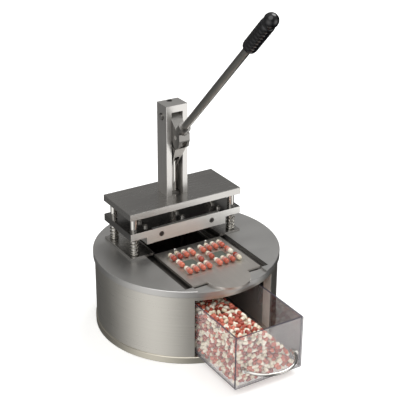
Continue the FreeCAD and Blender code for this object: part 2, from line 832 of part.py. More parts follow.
def ram_pin_bar():
    reach = tongue_width / 2 + 2.4
    return across(ram_pin / 2, ram_joint, -reach, reach)


def ram_screw():
    screw = flush_screw(ram_screw_shank, ram_screw_length)
    return placed(screw, V(0, press_y, boss_bottom), 180)


plate_screw_shank = 5.0
plate_screw_length = 20.5
plate_screw_head = 2.8
plate_screw_columns = (-1, 0, 1)


def plate_screw_places():
    x = (gib_inner + gib_outer) / 2
    return [(column * x, y) for column in plate_screw_columns for y in screw_rows]


bar_screw_shank = 5.0
bar_screw_x = 46.5
bar_counterbore = 4.0
bar_middle = (tool_bottom + plate_top) / 2


def bar_screw_places():
    return [V(s * bar_screw_x, press_front + bar_counterbore, bar_middle) for s in (-1, 1)]


def press_plate():
    """Moving plate on the posts, with a boss between the gibs for the tool."""
    wings = box(-press_half, press_half, press_front, press_back, plate_bottom, plate_top)
    boss = box(-tool_half, tool_half, bar_back, press_back, boss_bottom, plate_bottom)
    plate = wings.fuse(boss)
    notch = box(-tool_half - 0.1, tool_half + 0.1, press_front - 1, bar_back, boss_bottom, plate_top + 1)
    cuts = [notch]
    cuts += [upright(bush_outer / 2 + seat_fit, x, y, plate_bottom - 1, plate_top + 1)
             for x, y in post_places]
    cuts += [upright(plate_screw_shank / 2 + seat_fit, x, y, boss_bottom - 1, plate_top + 1)
             for x, y in plate_screw_places()]
    cuts += [rod(bar_screw_shank / 2 + seat_fit, place, place + Y_AXIS * 16)
             for place in bar_screw_places()]
    cuts.append(placed(flush_hole(ram_screw_shank, ram_screw_length), V(0, press_y, boss_bottom), 180))
    return plate.removeSplitter().cut(cuts)


def post_bushes():
    return [tube(bush_outer / 2, post_diameter / 2 + running_fit, x, y, plate_bottom, plate_top)
            for x, y in post_places]


def gib(side):
    """Side rail under the moving plate with a lip that carries the tool."""
    block = box(gib_inner, gib_outer, press_front, press_back, gib_bottom, plate_bottom)
    lip = box(gib_inner - gib_lip, gib_inner, bar_back, press_back, gib_bottom,
              gib_bottom + gib_lip_height)
    rail = block.fuse(lip).removeSplitter()
    if side < 0:
        rail = mirror(rail)
    holes = [upright(plate_screw_shank / 2 + seat_fit, x, y, plate_top - plate_screw_length - 0.5,
                     plate_bottom + 1) for x, y in plate_screw_places() if x * side > 0]
    return rail.cut(holes)


def plate_screws():
    screw = cap_screw(plate_screw_shank, plate_screw_length, plate_screw_head)
    return [placed(screw, V(x, y, plate_top)) for x, y in plate_screw_places()]


tool_front = bar_back + 0.2


def punch_plate():
    """Exchangeable tool plate, rebated at its sides for the gibs' lips."""
    ledge = gib_bottom + gib_lip_height + 0.1
    plate = box(-tool_half, tool_half, tool_front, tool_front + tool_length, ledge, boss_bottom)
    inner = gib_inner - gib_lip - 0.2
    lower = box(-inner, inner, tool_front, tool_front + tool_length, tool_bottom, ledge)
    plate = plate.fuse(lower).removeSplitter()
    holes = [upright(plate_screw_shank / 2 + seat_fit, x, y, plate_top - plate_screw_length - 0.5,
                     boss_bottom + 1) for x, y in plate_screw_places() if x == 0]
    return plate.cut(holes)


def punches():
    return [obround(punch_width, punch_length, x, press_y + y, tool_bottom - punch_height, tool_bottom)
            for x, y in capsule_places()]


def front_bar():
    """Bar across the front that shuts the tool's slide-in slot."""
    bar = box(-tool_half, tool_half, press_front, bar_back, tool_bottom, plate_top)
    cuts = []
    for place in bar_screw_places():
        cuts.append(rod(bar_screw_shank * 0.85 + bolt_fit, place - Y_AXIS * 6, place))
        cuts.append(rod(bar_screw_shank / 2 + bolt_fit, place, place + Y_AXIS * 6))
    return bar.cut(cuts)


def bar_screws():
    screw = cap_screw(bar_screw_shank, 15.0, 3.4)
    return [placed(screw, place, 90) for place in bar_screw_places()]


def return_spring(x, y):
    """Coil spring round a post, between the shoe and the moving plate."""
    wire = spring_wire / 2
    coil_radius = spring_outer / 2 - wire
    rise = spring_length - spring_wire
    path = Part.makeHelix(rise / spring_turns, rise, coil_radius)
    start = V(coil_radius, 0, 0)
    section = Part.Wire(Part.makeCircle(wire, start, Y_AXIS))
    coil = Part.Wire(path).makePipeShell([section], True, True)
    return placed(coil, V(x, y, shoe_top + wire))


# ---- Writing the files ----
def write(name, pieces):
    """Save one node, as one solid or as a group of separate solids."""
    group = pieces if isinstance(pieces, list) else [pieces]
    solids = [solid for piece in group for solid in piece.Solids]
    shape = solids[0] if len(solids) == 1 else Part.makeCompound(solids)
    shape.exportStep("parts/" + name + ".step")
    if not shape.isValid():
        print("invalid:", name)
    print(f"{name}: {len(solids)} solid(s), {sum(s.Volume for s in solids) / 1000:.2f} cm3")


def main():
    os.makedirs("parts", exist_ok=True)
    corners = ("front_left", "front_right", "back_left", "back_right")
    nodes = {
        "base_disc": base_with_rail_holes(),
        "base_screws": base_screws(),
        "tie_pillars": tie_pillars(),
        "drum_shell": drum_shell(),
        "deck_plate": deck_plate(),
        "drop_chute": drop_chute(),
        "drawer_rail_left": drawer_rail(-1),
        "drawer_rail_right": drawer_rail(1),
        "drawer_rail_screws": rail_screws(),
        "drawer_stop": drawer_stop(),
        "drawer_floor": drawer_floor(),
        "drawer_left_wall": drawer_side(-1),
        "drawer_right_wall": drawer_side(1),
        "drawer_back_wall": drawer_back_wall(),
        "drawer_front_wall": drawer_front_wall(),
        "drawer_handle": drawer_handle(),
        "drawer_handle_nuts": handle_nuts(),
        "tray_plate": tray_plate(),
        "tray_format_plate": format_plate(),
        "tray_locating_pins": locating_pins(),
        "tray_runner_left": tray_runner(-1),
        "tray_runner_right": tray_runner(1),
        "tray_guide_left": tray_guide(-1),
        "tray_guide_right": tray_guide(1),
        "post_shoe_left": shoe(-1),
        "post_shoe_right": shoe(1),
        "post_nuts": post_nuts(),
        "head_plate": head_plate(),
        "ram_bush": ram_bush(),
        "column": column(),
        "column_screws": column_screws(),
        "stop_screw": stop_screw(),
        "pivot_pin": pivot_pin_bar(),
        "pivot_clips": pivot_clips(),
        "lever_hub": lever_hub(),
        "lever_rod": lever_rod(),
        "lever_grip": lever_grip(),
        "toggle_link": toggle_link(),
        "crank_pin": crank_pin_bar(),
        "ram": ram(),
        "ram_pin": ram_pin_bar(),
        "ram_screw": ram_screw(),
        "press_plate": press_plate(),
        "post_bushes": post_bushes(),
        "gib_left": gib(-1),
        "gib_right": gib(1),
        "plate_screws": plate_screws(),
        "punch_plate": punch_plate(),
        "punches": punches(),
        "front_bar": front_bar(),
        "front_bar_screws": bar_screws(),
    }
    for corner, (x, y) in zip(corners, post_places):
        nodes["guide_post_" + corner] = guide_post(x, y)
        nodes["return_spring_" + corner] = return_spring(x, y)
    for name, pieces in nodes.items():
        write(name, pieces)
    reach_down = crank_radius * math.cos(crank_lean_down)
    stroke = ram_joint.z - (pivot.z - reach_down - link_length * math.cos(link_lean_down))
    print(f"{len(nodes)} nodes, about {stroke:.1f} mm of stroke")


main()
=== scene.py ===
# %% [markdown]
# # A hand press that empties blister cards
# The press itself is a CAD model: drum, deck, posts, plates, column, lever and drawer.
# This script loads it as a fixed frame, gives every part its finish, and models what CAD
# leaves plain: the moulded grip, the coil springs, the acrylic sheets with their sawn edges,
# the blister cards and the capsules.  Lengths are in metres, the table is at Z = 0, and the
# drawer opens towards -Y.

import math

import bpy
import numpy as np
from mathutils import Matrix, Vector


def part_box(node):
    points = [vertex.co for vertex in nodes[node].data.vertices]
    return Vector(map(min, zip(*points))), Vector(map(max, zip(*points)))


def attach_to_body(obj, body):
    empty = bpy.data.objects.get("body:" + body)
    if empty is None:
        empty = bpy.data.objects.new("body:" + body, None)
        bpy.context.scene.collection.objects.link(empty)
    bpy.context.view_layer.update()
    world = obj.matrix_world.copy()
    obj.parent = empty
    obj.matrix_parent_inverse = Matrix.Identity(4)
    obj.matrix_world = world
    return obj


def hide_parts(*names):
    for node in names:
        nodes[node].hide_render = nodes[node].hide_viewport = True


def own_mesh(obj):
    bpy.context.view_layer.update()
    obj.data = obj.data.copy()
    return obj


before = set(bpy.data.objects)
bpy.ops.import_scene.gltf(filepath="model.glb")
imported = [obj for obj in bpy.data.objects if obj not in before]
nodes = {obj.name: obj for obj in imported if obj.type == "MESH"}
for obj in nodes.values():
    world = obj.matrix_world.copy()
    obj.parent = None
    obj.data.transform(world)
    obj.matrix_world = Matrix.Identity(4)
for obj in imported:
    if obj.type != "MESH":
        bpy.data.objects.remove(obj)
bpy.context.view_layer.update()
MM = 0.001

# %% [markdown]
# ## Camera
# The press is looked at from its left front corner and from above, at about 25 degrees.  A long
# lens from 1.7 m keeps the drum's rim nearly a true ellipse.  The camera is turned by a
# third of a degree about its own axis, as a hand-set tripod is.

# %% Camera
camera_place = Vector((-0.77395, -1.28548, 0.91345))
camera_target = Vector((0.0252, 0.0, 0.2020))
camera_roll = math.radians(0.375)

bpy.ops.object.camera_add(location=camera_place)
camera = bpy.context.object
camera.name = "camera"
camera.data.lens = 94.56
camera.data.sensor_width = 36.0
camera.data.clip_end = 50.0
aim = (camera_target - camera_place).to_track_quat("-Z", "Y").to_matrix()
camera.rotation_euler = (aim @ Matrix.Rotation(camera_roll, 3, "Z")).to_euler()
bpy.context.scene.camera = camera
print("camera stands", round((camera_target - camera_place).length, 3), "m away")

# %% [markdown]
# ## Colours and nodes
# Colours are written as the hex values a painter's chart gives.  Blender's sockets want linear
# numbers, so one function turns them.  A second small function adds any shader node with its
# settings and its links, so that each finish below reads as a short list of steps.

# %% Helpers for colours and nodes
def linear(hex_code):
    """A chart colour, such as #c8c4bc, as Blender's linear RGBA."""
    channels = [int(hex_code[i:i + 2], 16) / 255 for i in (1, 3, 5)]
    return tuple(c / 12.92 if c <= 0.04045 else ((c + 0.055) / 1.055) ** 2.4
                 for c in channels) + (1.0,)


def add_node(tree, kind, settings=None, links=None):
    """Add a node; settings are its properties or input values, links feed its inputs."""
    node = tree.nodes.new(kind)
    for key, value in (settings or {}).items():
        if isinstance(key, str) and hasattr(node, key):
            setattr(node, key, value)
        else:
            node.inputs[key].default_value = value
    for key, source in (links or {}).items():
        tree.links.new(source, node.inputs[key])
    return node


def new_material(name, settings):
    """A material with one Principled shader, and its tree and shader."""
    material = bpy.data.materials.new(name)
    material.use_nodes = True
    tree = material.node_tree
    tree.nodes.clear()
    shader = add_node(tree, "ShaderNodeBsdfPrincipled", settings)
    add_node(tree, "ShaderNodeOutputMaterial", links={"Surface": shader.outputs["BSDF"]})
    return material, tree, shader


def two_tones(tree, factor, dark, light):
    """A colour ramp between two chart colours."""
    ramp = add_node(tree, "ShaderNodeValToRGB", links={"Fac": factor})
    ramp.color_ramp.elements[0].color = linear(dark)
    ramp.color_ramp.elements[1].color = linear(light)
    return ramp


def object_place(tree):
    """Where a shading point lies on its own object, in metres."""
    return add_node(tree, "ShaderNodeTexCoord").outputs["Object"]


# %% [markdown]
# ## Studio
# Bare steel shows its surroundings more than its own colour, so the surroundings are shaped
# first.  A world of a few broad glows stands for large soft boxes: one at the left front that
# draws the bright band down the drum, one at the right front that lights the plates' front
# edges, a faint one behind the left, and a broad one overhead.  Everything else is dim, which
# keeps the left and right faces dark.  Two suns, as wide as soft boxes, give the shadow.  The
# floor is a pale sheet on a faint light table; it is kept out of mirror reflections, so that
# the steel sees the soft boxes and not the table.

# %% World of soft glows
def heading(azimuth, elevation):
    """Unit vector; azimuth 0 is the front and 90 the right-hand side, in degrees."""
    a, e = math.radians(azimuth), math.radians(elevation)
    return (math.sin(a) * math.cos(e), -math.cos(a) * math.cos(e), math.sin(e))


ambient = 0.032
glows = [  # azimuth, elevation, sharpness, strength
    (-71, -16, 4.0, 1.36),
    (34, -14, 9.0, 1.9),
    (-152, -12, 4.0, 0.14),
    (0, 90, 1.6, 0.72),
]
world = bpy.data.worlds.new("studio")
bpy.context.scene.world = world
world.use_nodes = True
sky = world.node_tree
sky.nodes.clear()
direction = add_node(sky, "ShaderNodeTexCoord").outputs["Generated"]
total = add_node(sky, "ShaderNodeValue").outputs[0]
total.default_value = ambient
for azimuth, elevation, sharpness, strength in glows:
    facing = add_node(sky, "ShaderNodeVectorMath",
                      {"operation": "DOT_PRODUCT", 1: heading(azimuth, elevation)}, {0: direction})
    lit = add_node(sky, "ShaderNodeMath", {"operation": "MAXIMUM", 1: 0.0}, {0: facing.outputs["Value"]})
    shaped = add_node(sky, "ShaderNodeMath", {"operation": "POWER", 1: sharpness}, {0: lit.outputs[0]})
    total = add_node(sky, "ShaderNodeMath", {"operation": "MULTIPLY_ADD", 1: strength},
                     {0: shaped.outputs[0], 2: total}).outputs[0]
backdrop = add_node(sky, "ShaderNodeBackground", {"Color": linear("#fdfcfa")}, {"Strength": total})
add_node(sky, "ShaderNodeOutputWorld", links={"Surface": backdrop.outputs[0]})
bpy.context.scene.view_settings.view_transform = "Standard"

# %% Lamps
lamps = [  # name, azimuth, elevation, angular size, strength
    ("key_sun", 98, 56, 40, 1.6),
    ("fill_sun", -48, 52, 60, 1.1),
]
for name, azimuth, elevation, width, strength in lamps:
    bpy.ops.object.light_add(type="SUN", location=(0, 0, 1))
    lamp = bpy.context.object
    lamp.name = name
    lamp.data.angle = math.radians(width)
    lamp.data.energy = strength
    lamp.rotation_euler = Vector(heading(azimuth, elevation)).to_track_quat("Z", "Y").to_euler()

# %% Floor
floor_paper, tree, shader = new_material(
    "matt_white_paper", {"Base Color": linear("#fdfdfc"), "Roughness": 0.9,
                         "Emission Color": linear("#ffffff"), "Emission Strength": 0.3})
bpy.ops.mesh.primitive_plane_add(size=12.0)
floor = bpy.context.object
floor.name = "floor"
floor.data.materials.append(floor_paper)
floor.visible_glossy = False
print("world glows:", len(glows), "lamps:", len(lamps))


# %% [markdown]
# ## Steel finishes
# Stainless steel is one metal here with several surfaces.  Sheet and plate are brushed with a
# belt, which leaves long fine scratches in one direction; turned rods are ground or polished;
# screws are plain.  The brush marks are a noise that is stretched along the brushing, used
# three times: a little in the colour, more in the roughness, and as a shallow bump.  Real
# scratches are 0.05 mm apart and would vanish at this distance, so they are drawn near 1 mm.

# %% Brushed and ground steel
noise_span = {"From Min": 0.35, "From Max": 1.0}    # where the noise's values mostly lie


def brushed_steel(name, colour, roughness, along, spacing, length, depth, contrast=0.10, turn=0.0):
    """Steel brushed along "x", "y" or "z", or round the upright axis for "ring"."""
    material, tree, shader = new_material(name, {"Metallic": 1.0, "Anisotropic": turn})
    fine, long = 1 / (spacing * MM), 1 / (length * MM)
    stretch = {"x": (long, fine, fine), "y": (fine, long, fine), "z": (fine, fine, long),
               "ring": (long, long, fine), "even": (fine, fine, fine)}[along]
    place = object_place(tree)
    marks_place = add_node(tree, "ShaderNodeMapping", {"Scale": stretch}, {"Vector": place})
    marks = add_node(tree, "ShaderNodeTexNoise", {"Scale": 1.0, "Detail": 3.0, "Roughness": 0.6},
                     {"Vector": marks_place.outputs[0]}).outputs["Fac"]
    cloud = add_node(tree, "ShaderNodeTexNoise", {"Scale": 1 / (45 * MM), "Detail": 2.0},
                     {"Vector": place}).outputs["Fac"]
    mixed = add_node(tree, "ShaderNodeMath", {"operation": "MULTIPLY_ADD", 1: 0.35}, {0: cloud, 2: marks})
    shade = add_node(tree, "ShaderNodeMapRange",
                     {**noise_span, "To Min": 1 - contrast, "To Max": 1 + contrast * 0.4},
                     {"Value": mixed.outputs[0]})
    tone = add_node(tree, "ShaderNodeVectorMath", {"operation": "SCALE", 0: linear(colour)[:3]},
                    {"Scale": shade.outputs[0]})
    rough = add_node(tree, "ShaderNodeMapRange",
                     {**noise_span, "To Min": roughness * 0.85, "To Max": roughness * 1.2},
                     {"Value": mixed.outputs[0]})
    bump = add_node(tree, "ShaderNodeBump", {"Strength": 0.5, "Distance": depth * MM}, {"Height": marks})
    tree.links.new(tone.outputs[0], shader.inputs["Base Color"])
    tree.links.new(rough.outputs[0], shader.inputs["Roughness"])
    tree.links.new(bump.outputs[0], shader.inputs["Normal"])
    return material


finishes = {
    "deck": brushed_steel("belt_brushed_stainless_deck", "#c3c2c0", 0.38, "x", 1.0, 60, 0.02, 0.06),
    "shell": brushed_steel("brushed_stainless_sheet", "#cac7c0", 0.30, "ring", 0.9, 70, 0.03, 0.12, 0.6),
    "base": brushed_steel("turned_stainless_disc", "#c6c1b4", 0.34, "ring", 0.8, 60, 0.02, 0.08),
    "plate": brushed_steel("ground_stainless_plate", "#bdbbb8", 0.25, "x", 0.9, 50, 0.02, 0.08),
    "tray": brushed_steel("brushed_stainless_tray", "#cfcac4", 0.36, "y", 0.9, 60, 0.02, 0.10),
    # Dark tone of the pocket floor is painted shade in the recess.
    "pocket": brushed_steel("milled_pocket_painted_shade", "#7d7a77", 0.3, "y", 0.9, 50, 0.02, 0.15),
    # Dark tone of the moving plate is painted shade under the head plate.
    "dark": brushed_steel("ground_plate_painted_shade", "#8f8d8b", 0.22, "x", 0.9, 50, 0.02, 0.12),
    # Near-white tone is a painted highlight on front faces.
    "bright": brushed_steel("ground_stainless_painted_highlight", "#ecebe8", 0.42, "x", 0.9, 40, 0.02, 0.08),
    "column": brushed_steel("ground_stainless_column", "#dad8d5", 0.36, "z", 0.8, 40, 0.02, 0.10),
    "machined": brushed_steel("milled_steel", "#918f8c", 0.34, "even", 1.1, 1.1, 0.03, 0.16),
    "rod": brushed_steel("drawn_steel_rod", "#9a9894", 0.30, "even", 2.0, 2.0, 0.02, 0.12),
    "polished": brushed_steel("polished_stainless", "#d6d4d0", 0.10, "even", 3.0, 3.0, 0.004, 0.05),
    "screws": brushed_steel("plain_stainless_screws", "#6f6d6b", 0.30, "even", 1.0, 1.0, 0.03, 0.2),
    # Dark tone of the parts inside the drum is painted shade; the higher roughness is a real mill finish.
    "inside": brushed_steel("mill_finish_painted_shade", "#66635f", 0.42, "even", 2.0, 2.0, 0.02, 0.15),
    # Dark tone of the drum's inner face is painted shade; the higher roughness is a real unpolished finish.
    "scale": brushed_steel("shell_inside_painted_shade", "#4b4744", 0.5, "z", 1.5, 30, 0.02, 0.2),
}

# %% [markdown]
# ## Which part has which finish
# A CAD part keeps its mesh and only gets a material.  A few parts have a second finish on some
# faces: the drum's sheet is unpolished and darkened inside as painted shade and carries a painted
# highlight on its window flange, the milled pocket's floor is darkened as painted shade, and the
# moving plate's front carries a painted highlight.

# %% Give the CAD parts their finishes
finish_of = {
    "deck": ["deck_plate"],
    "shell": ["drum_shell"],
    "base": ["base_disc"],
    "plate": ["head_plate", "post_shoe_left", "post_shoe_right"],
    # These front pieces carry the painted highlight.
    "bright": ["front_bar", "gib_left", "gib_right"],
    # The moving plate is darkened as painted shade.
    "dark": ["press_plate"],
    "tray": ["tray_plate", "tray_format_plate"],
    "column": ["column"],
    "machined": ["lever_hub", "toggle_link", "punch_plate", "punches", "tray_runner_left",
                 "tray_runner_right", "tray_guide_left", "tray_guide_right", "ram_bush", "post_bushes"],
    "rod": ["lever_rod"],
    "polished": ["drawer_handle", "drawer_handle_nuts", "tray_locating_pins", "ram", "pivot_pin", "crank_pin",
                 "plate_screws", "ram_pin", "guide_post_front_left", "guide_post_front_right",
                 "guide_post_back_left", "guide_post_back_right"],
    "screws": ["base_screws", "drawer_rail_screws", "post_nuts", "column_screws", "stop_screw", "pivot_clips",
               "ram_screw", "front_bar_screws"],
    # These parts inside the drum are darkened as painted shade.
    "inside": ["tie_pillars", "drawer_rail_left", "drawer_rail_right", "drawer_stop", "drop_chute"],
}


def wear(obj, *materials):
    """Replace whatever materials an object has."""
    obj.data.materials.clear()
    for material in materials:
        obj.data.materials.append(material)


for finish, names in finish_of.items():
    for name in names:
        wear(nodes[name], finishes[finish])
# The window flange's near-white, barely metallic tone is a painted highlight along the window edge.
flange_highlight_paint = brushed_steel("flange_painted_highlight", "#f3e7dd", 0.5, "z", 1.0, 20, 0.02, 0.1)
flange_highlight_paint.node_tree.nodes["Principled BSDF"].inputs["Metallic"].default_value = 0.1
shell_mesh = nodes["drum_shell"].data
shell_mesh.materials.append(flange_highlight_paint)
# Slot 2 darkens the drum's inner face as painted shade.
shell_mesh.materials.append(finishes["scale"])
squarely = 0.9                  # a face looks along an axis when its normal has more of it than this
window_right = 79 * MM
flange_reach = 3 * MM
drum_front = -100 * MM          # the window flange lies in front of this
for face in shell_mesh.polygons:
    outward = Vector((face.center.x, face.center.y, 0)).normalized()
    at_flange = abs(face.center.x - window_right) < flange_reach and face.center.y < drum_front
    if face.normal.x < -squarely and at_flange:
        face.material_index = 1
    elif face.normal.dot(outward) < -0.5:
        face.material_index = 2
# The moving plate's front faces get the painted highlight.
plate_mesh = nodes["press_plate"].data
plate_mesh.materials.append(finishes["bright"])
for face in plate_mesh.polygons:
    if face.normal.y < -squarely:
        face.material_index = 1
# The pocket floor gets the darker tone as painted shade.
deck_mesh = nodes["deck_plate"].data
deck_mesh.materials.append(finishes["pocket"])
pocket_floor = 121 * MM
flush = 0.3 * MM
for face in deck_mesh.polygons:
    if face.normal.z > squarely and abs(face.center.z - pocket_floor) < flush:
        face.material_index = 1
print("CAD parts with a finish:", sum(len(names) for names in finish_of.values()))


# %% [markdown]
# ## Tools for new pieces
# A new piece starts as a primitive that is shaped in edit mode.  Operators work on whatever is
# selected, so everything is deselected first.  When a piece is finished, its place is applied
# to its mesh, sharp edges stay sharp and the rest is smoothed, and it is tied to the CAD body
# that carries it.

# %% Helpers for modelling
weld_distance = 0.00001


def start_piece(name, primitive, **settings):
    """Add one primitive with nothing else selected."""
    if bpy.context.object and bpy.context.object.mode == "EDIT":
        bpy.ops.object.mode_set(mode="OBJECT")
    bpy.ops.object.select_all(action="DESELECT")
    primitive(**settings)
    piece = bpy.context.object
    piece.name = name
    return piece


def pick(piece, test):
    """Select the faces of a piece whose centre and normal pass a test, and enter edit mode."""
    bpy.ops.object.mode_set(mode="OBJECT")
    for face in piece.data.polygons:
        face.select = test(face.center, face.normal)
    for edge in piece.data.edges:
        edge.select = False
    for vertex in piece.data.vertices:
        vertex.select = False
    bpy.ops.object.mode_set(mode="EDIT")
    bpy.ops.mesh.select_mode(type="FACE")


def only(piece):
    """Make one piece the selected and active one."""
    if bpy.context.object and bpy.context.object.mode == "EDIT":
        bpy.ops.object.mode_set(mode="OBJECT")
    bpy.ops.object.select_all(action="DESELECT")
    piece.select_set(True)
    bpy.context.view_layer.objects.active = piece


def settle(piece, smooth=40):
    """Apply the piece's place to its mesh and smooth it up to an angle."""
    only(piece)
    bpy.ops.object.transform_apply(location=True, rotation=True, scale=True)
    bpy.ops.object.shade_smooth_by_angle(angle=math.radians(smooth))
    return piece


def apply_modifiers(piece):
    """Turn the piece's modifiers into mesh."""
    only(piece)
    for modifier in list(piece.modifiers):
        bpy.ops.object.modifier_apply(modifier=modifier.name)


def join(pieces, name):
    """Join pieces into one mesh."""
    only(pieces[0])
    for piece in pieces:
        piece.select_set(True)
    if len(pieces) > 1:
        bpy.ops.object.join()
    joined = bpy.context.object
    joined.name = name
    return joined


def copy_of(piece, name, matrix=Matrix.Identity(4)):
    """A copy with its own mesh, moved by a matrix."""
    twin = piece.copy()
    twin.data = piece.data.copy()
    twin.name = name
    twin.data.transform(matrix)
    bpy.context.scene.collection.objects.link(twin)
    return twin


def attach(piece, body, slot, *stands_for):
    """Tie a finished piece to the body that carries it."""
    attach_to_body(piece, body)
    if stands_for:
        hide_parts(*stands_for)
    print(piece.name, "rides on", body, "with", len(piece.data.polygons), "faces")


# %% [markdown]
# ## Return springs
# Each post carries a compression spring between its foot and the moving plate.  Such a spring
# has a closed coil at each end, where the wire lies on itself, and open coils between.  A small
# circle is swept by a Screw modifier, once for each of the three stretches, and the open wire ends are
# filled.

# %% Coil springs
spring_wire = 1.8 * MM
spring_radius = 6.6 * MM        # to the middle of the wire
closed_pitch = spring_wire * 1.04
open_turns = 4
wire_sides = 10

spring_steel = brushed_steel("drawn_spring_wire", "#b4b1aa", 0.22, "even", 1.0, 1.0, 0.02, 0.15)


def coil(name, x, y, z, turns, pitch):
    """Wire wound upwards from a height, as an open tube."""
    wire = start_piece(name, bpy.ops.mesh.primitive_circle_add, vertices=wire_sides, radius=spring_wire / 2,
                       location=(x, y, z))
    bpy.ops.object.mode_set(mode="EDIT")
    bpy.ops.transform.rotate(value=math.pi / 2, orient_axis="X", center_override=(x, y, z))
    bpy.ops.transform.translate(value=(spring_radius, 0, 0))
    bpy.ops.object.mode_set(mode="OBJECT")
    screw = wire.modifiers.new("wind", "SCREW")
    screw.angle = 2 * math.pi
    screw.screw_offset = pitch
    screw.iterations = turns
    screw.steps = screw.render_steps = 28
    apply_modifiers(wire)
    return wire


def spring(corner):
    """One closed-end compression spring in the place of its CAD node."""
    low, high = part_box("return_spring_" + corner)
    x, y = (low.x + high.x) / 2, (low.y + high.y) / 2
    z = low.z + spring_wire / 2
    open_rise = (high.z - low.z) - spring_wire - 2 * closed_pitch
    parts = [coil("coil", x, y, z, 1, closed_pitch),
             coil("coil", x, y, z + closed_pitch, open_turns, open_rise / open_turns),
             coil("coil", x, y, z + closed_pitch + open_rise, 1, closed_pitch)]
    piece = join(parts, "spring_" + corner)
    bpy.ops.object.mode_set(mode="EDIT")
    bpy.ops.mesh.select_all(action="SELECT")
    bpy.ops.mesh.remove_doubles(threshold=weld_distance)
    bpy.ops.mesh.select_all(action="DESELECT")
    bpy.ops.mesh.select_mode(type="VERT")
    bpy.ops.mesh.select_non_manifold()
    bpy.ops.mesh.fill_holes(sides=wire_sides)
    bpy.ops.mesh.select_all(action="SELECT")
    bpy.ops.mesh.normals_make_consistent(inside=False)
    settle(piece, 60)
    wear(piece, spring_steel)
    return piece


for corner in ("front_left", "front_right", "back_left", "back_right"):
    piece = spring(corner)
    attach(piece, "frame", "spring_steel", "return_spring_" + corner)
    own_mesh(piece)

# %% [markdown]
# ## Grip
# The lever ends in a moulded black handle: a blunt foot, a body with shallow finger rings, a
# groove, and a ball.  It is turned like a lathe part: a ring of points is extruded along the
# axis again and again and scaled to the next radius.  The moulded plastic is dense black with
# a soft gloss and a faint unevenness.

# %% Turned grip
grip_sides = 56


def turned(name, profile, sides):
    """Solid of revolution along Z from (height, radius) pairs in millimetres."""
    height, radius = profile[0]
    piece = start_piece(name, bpy.ops.mesh.primitive_circle_add, vertices=sides, radius=radius * MM,
                        fill_type="NGON", location=(0, 0, height * MM))
    bpy.ops.object.transform_apply(location=True)
    bpy.ops.object.mode_set(mode="EDIT")
    bpy.ops.mesh.select_all(action="SELECT")
    for next_height, next_radius in profile[1:]:
        rise = (0, 0, (next_height - height) * MM)
        bpy.ops.mesh.extrude_region_move(TRANSFORM_OT_translate={"value": rise})
        scale = next_radius / radius
        bpy.ops.transform.resize(value=(scale, scale, 1), center_override=(0, 0, next_height * MM))
        height, radius = next_height, next_radius
    bpy.ops.mesh.select_all(action="SELECT")
    bpy.ops.mesh.normals_make_consistent(inside=False)
    bpy.ops.object.mode_set(mode="OBJECT")
    return piece


grip_radius = 11.0
ball_radius = 10.6
grip_length = 80.0
ring_pitch = 7.0
ring_depth = 0.35
profile_step = ring_pitch / 8
body_start, body_end = 3.6, 59.6
grip_profile = [(0.0, grip_radius - 2.7), (0.5, grip_radius - 1.5), (1.4, grip_radius - 0.8),
                (2.6, grip_radius - 0.45)]
for step in range(int((body_end - body_start) / profile_step) + 1):
    along = body_start + step * profile_step
    wave = math.sin(math.pi * (along - body_start) / ring_pitch) ** 2
    grip_profile.append((along, grip_radius - ring_depth * (1 - wave ** 0.5)))
grip_profile += [(60.6, grip_radius - 0.9), (61.4, grip_radius - 1.6), (63.8, grip_radius - 1.6)]
ball_centre = grip_length - ball_radius
first_angle = math.asin((64.4 - ball_centre) / ball_radius)
ball_steps = 14
for step in range(ball_steps + 1):
    angle = first_angle + (math.radians(86) - first_angle) * step / ball_steps
    grip_profile.append((ball_centre + ball_radius * math.sin(angle), ball_radius * math.cos(angle)))

black_plastic, tree, shader = new_material(
    "moulded_black_phenolic", {"Base Color": linear("#040408"), "Roughness": 0.18, "IOR": 1.55,
                               "Coat Weight": 0.2, "Coat Roughness": 0.06})
place = object_place(tree)
orange_peel = add_node(tree, "ShaderNodeTexNoise", {"Scale": 1 / (1.6 * MM), "Detail": 2.0},
                       {"Vector": place})
peel = add_node(tree, "ShaderNodeBump", {"Strength": 0.25, "Distance": 0.05 * MM},
                {"Height": orange_peel.outputs["Fac"]})
gloss = add_node(tree, "ShaderNodeMapRange", {"To Min": 0.12, "To Max": 0.24},
                 {"Value": orange_peel.outputs["Fac"]})
tree.links.new(peel.outputs[0], shader.inputs["Normal"])
tree.links.new(gloss.outputs[0], shader.inputs["Roughness"])

rod_low, rod_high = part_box("lever_rod")
rod_angle = math.radians(45.4)
rod_axis = Vector((0, -math.cos(rod_angle), math.sin(rod_angle)))
rod_radius = 6.0 * MM
rod_end = Vector((0, rod_low.y + rod_radius * abs(rod_axis.z), rod_high.z - rod_radius * abs(rod_axis.y)))
rod_in_grip = 0.64              # share of the grip's length that the rod fills
grip_foot = rod_end - rod_axis * rod_in_grip * grip_length * MM
grip = turned("moulded_grip", grip_profile, grip_sides)
only(grip)
grip.matrix_world = Matrix.Translation(grip_foot) @ rod_axis.to_track_quat("Z", "Y").to_matrix().to_4x4()
settle(grip, 35)
wear(grip, black_plastic)
attach(grip, "lever", "black_grip", "lever_grip")
wear(nodes["lever_grip"], black_plastic)

# %% [markdown]
# ## Acrylic drawer
# The drawer is glued from five 3 mm acrylic sheets.  Their faces are clear and glossy, and
# their sawn and glued edges gather the light and look dark violet grey.  Each sheet is
# a block with its edges broken by a small bevel, and the narrow sides get the edge finish.
# The clear faces use alpha rather than bent light, so the capsules behind stay readable and
# lamps shine through.  The front part of the right wall is darker and mottled red brown: a
# painted reflection of the capsules and the dark surroundings.

# %% Acrylic sheets
sheet_bevel = 0.35 * MM
right_wall_reflection_start = -156 * MM     # the right wall's front part carries a painted reflection in front of this
